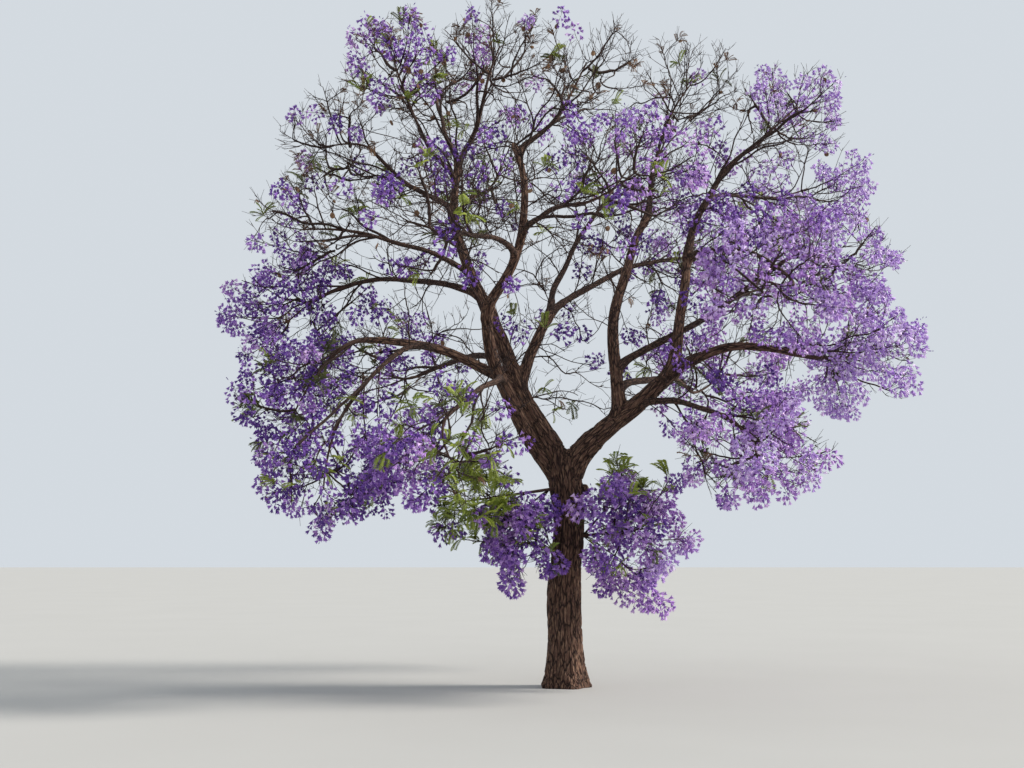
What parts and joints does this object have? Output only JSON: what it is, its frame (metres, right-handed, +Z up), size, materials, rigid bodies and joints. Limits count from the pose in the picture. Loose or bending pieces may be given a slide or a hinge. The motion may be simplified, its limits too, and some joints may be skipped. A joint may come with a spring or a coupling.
{
  "type": "jacaranda tree",
  "caption": "Rooted jacaranda tree in blossom: a short tapering trunk forks into spreading, rising limbs that carry separate masses of blossom round an airy crown.",
  "frame": {"origin": "centre of the flat cut under the trunk, at ground level", "axes": "+Z up; the fork's two main limbs spread along X, the long right-hand limb towards +X; +Y is the far side of the tree"},
  "size_m": [6.5817, 5.3245, 6.714],
  "materials": {
    "trunk_bark": "rough fissured grey-brown bark",
    "limb_bark": "finer dark brown bark, tan where the sun has bleached it",
    "blossom": "matt violet blossom in loose sprays on thin dark twigs",
    "leafy_blossom": "matt violet blossom mixed with ferny green leaves"
  },
  "bodies": {
    "root": {"trunk": "trunk_bark", "arch_right": "limb_bark", "bough_back_high": "limb_bark", "bough_back_left": "limb_bark", "bough_back_right": "limb_bark", "bough_crown_back": "limb_bark", "bough_crown_left": "limb_bark", "bough_crown_mid": "limb_bark", "bough_fork_low": "limb_bark", "bough_front_high": "limb_bark", "bough_front_left": "limb_bark", "bough_front_mid": "limb_bark", "bough_hang_right": "limb_bark", "bough_left_drop": "limb_bark", "bough_left_high": "limb_bark", "bough_left_low": "limb_bark", "bough_left_mid": "limb_bark", "bough_left_upper": "limb_bark", "bough_mid_left": "limb_bark", "bough_mid_right": "limb_bark", "bough_right_arch": "limb_bark", "bough_right_back": "limb_bark", "bough_riser_top": "limb_bark", "bough_upper_right": "limb_bark", "leader_crown": "limb_bark", "leader_left": "limb_bark", "leader_top": "limb_bark", "limb_right": "limb_bark", "riser_centre": "limb_bark", "riser_front": "limb_bark", "riser_right": "limb_bark", "stem_front": "limb_bark", "stem_mid": "limb_bark", "mass_top": "blossom", "mass_top_back": "blossom", "mass_top_left": "blossom", "mass_top_centre": "blossom", "mass_top_right": "blossom", "mass_high_left": "blossom", "mass_high_right": "blossom", "mass_upper_left": "blossom", "mass_upper_back": "blossom", "mass_upper_front_left": "blossom", "mass_upper_front_right": "blossom", "mass_rear_high": "blossom", "mass_far_left": "blossom", "mass_far_right": "blossom", "mass_right_upper": "blossom", "mass_right_front": "blossom", "mass_right_back": "blossom", "mass_rear_right": "blossom", "mass_left_low": "blossom", "mass_left_drop": "blossom", "mass_front_left": "leafy_blossom", "mass_back_left": "blossom", "mass_back_right": "blossom", "mass_hang_right": "leafy_blossom", "mass_trunk_right": "blossom", "mass_trunk_left": "blossom", "mass_low_left": "leafy_blossom"}
  },
  "joints": []
}
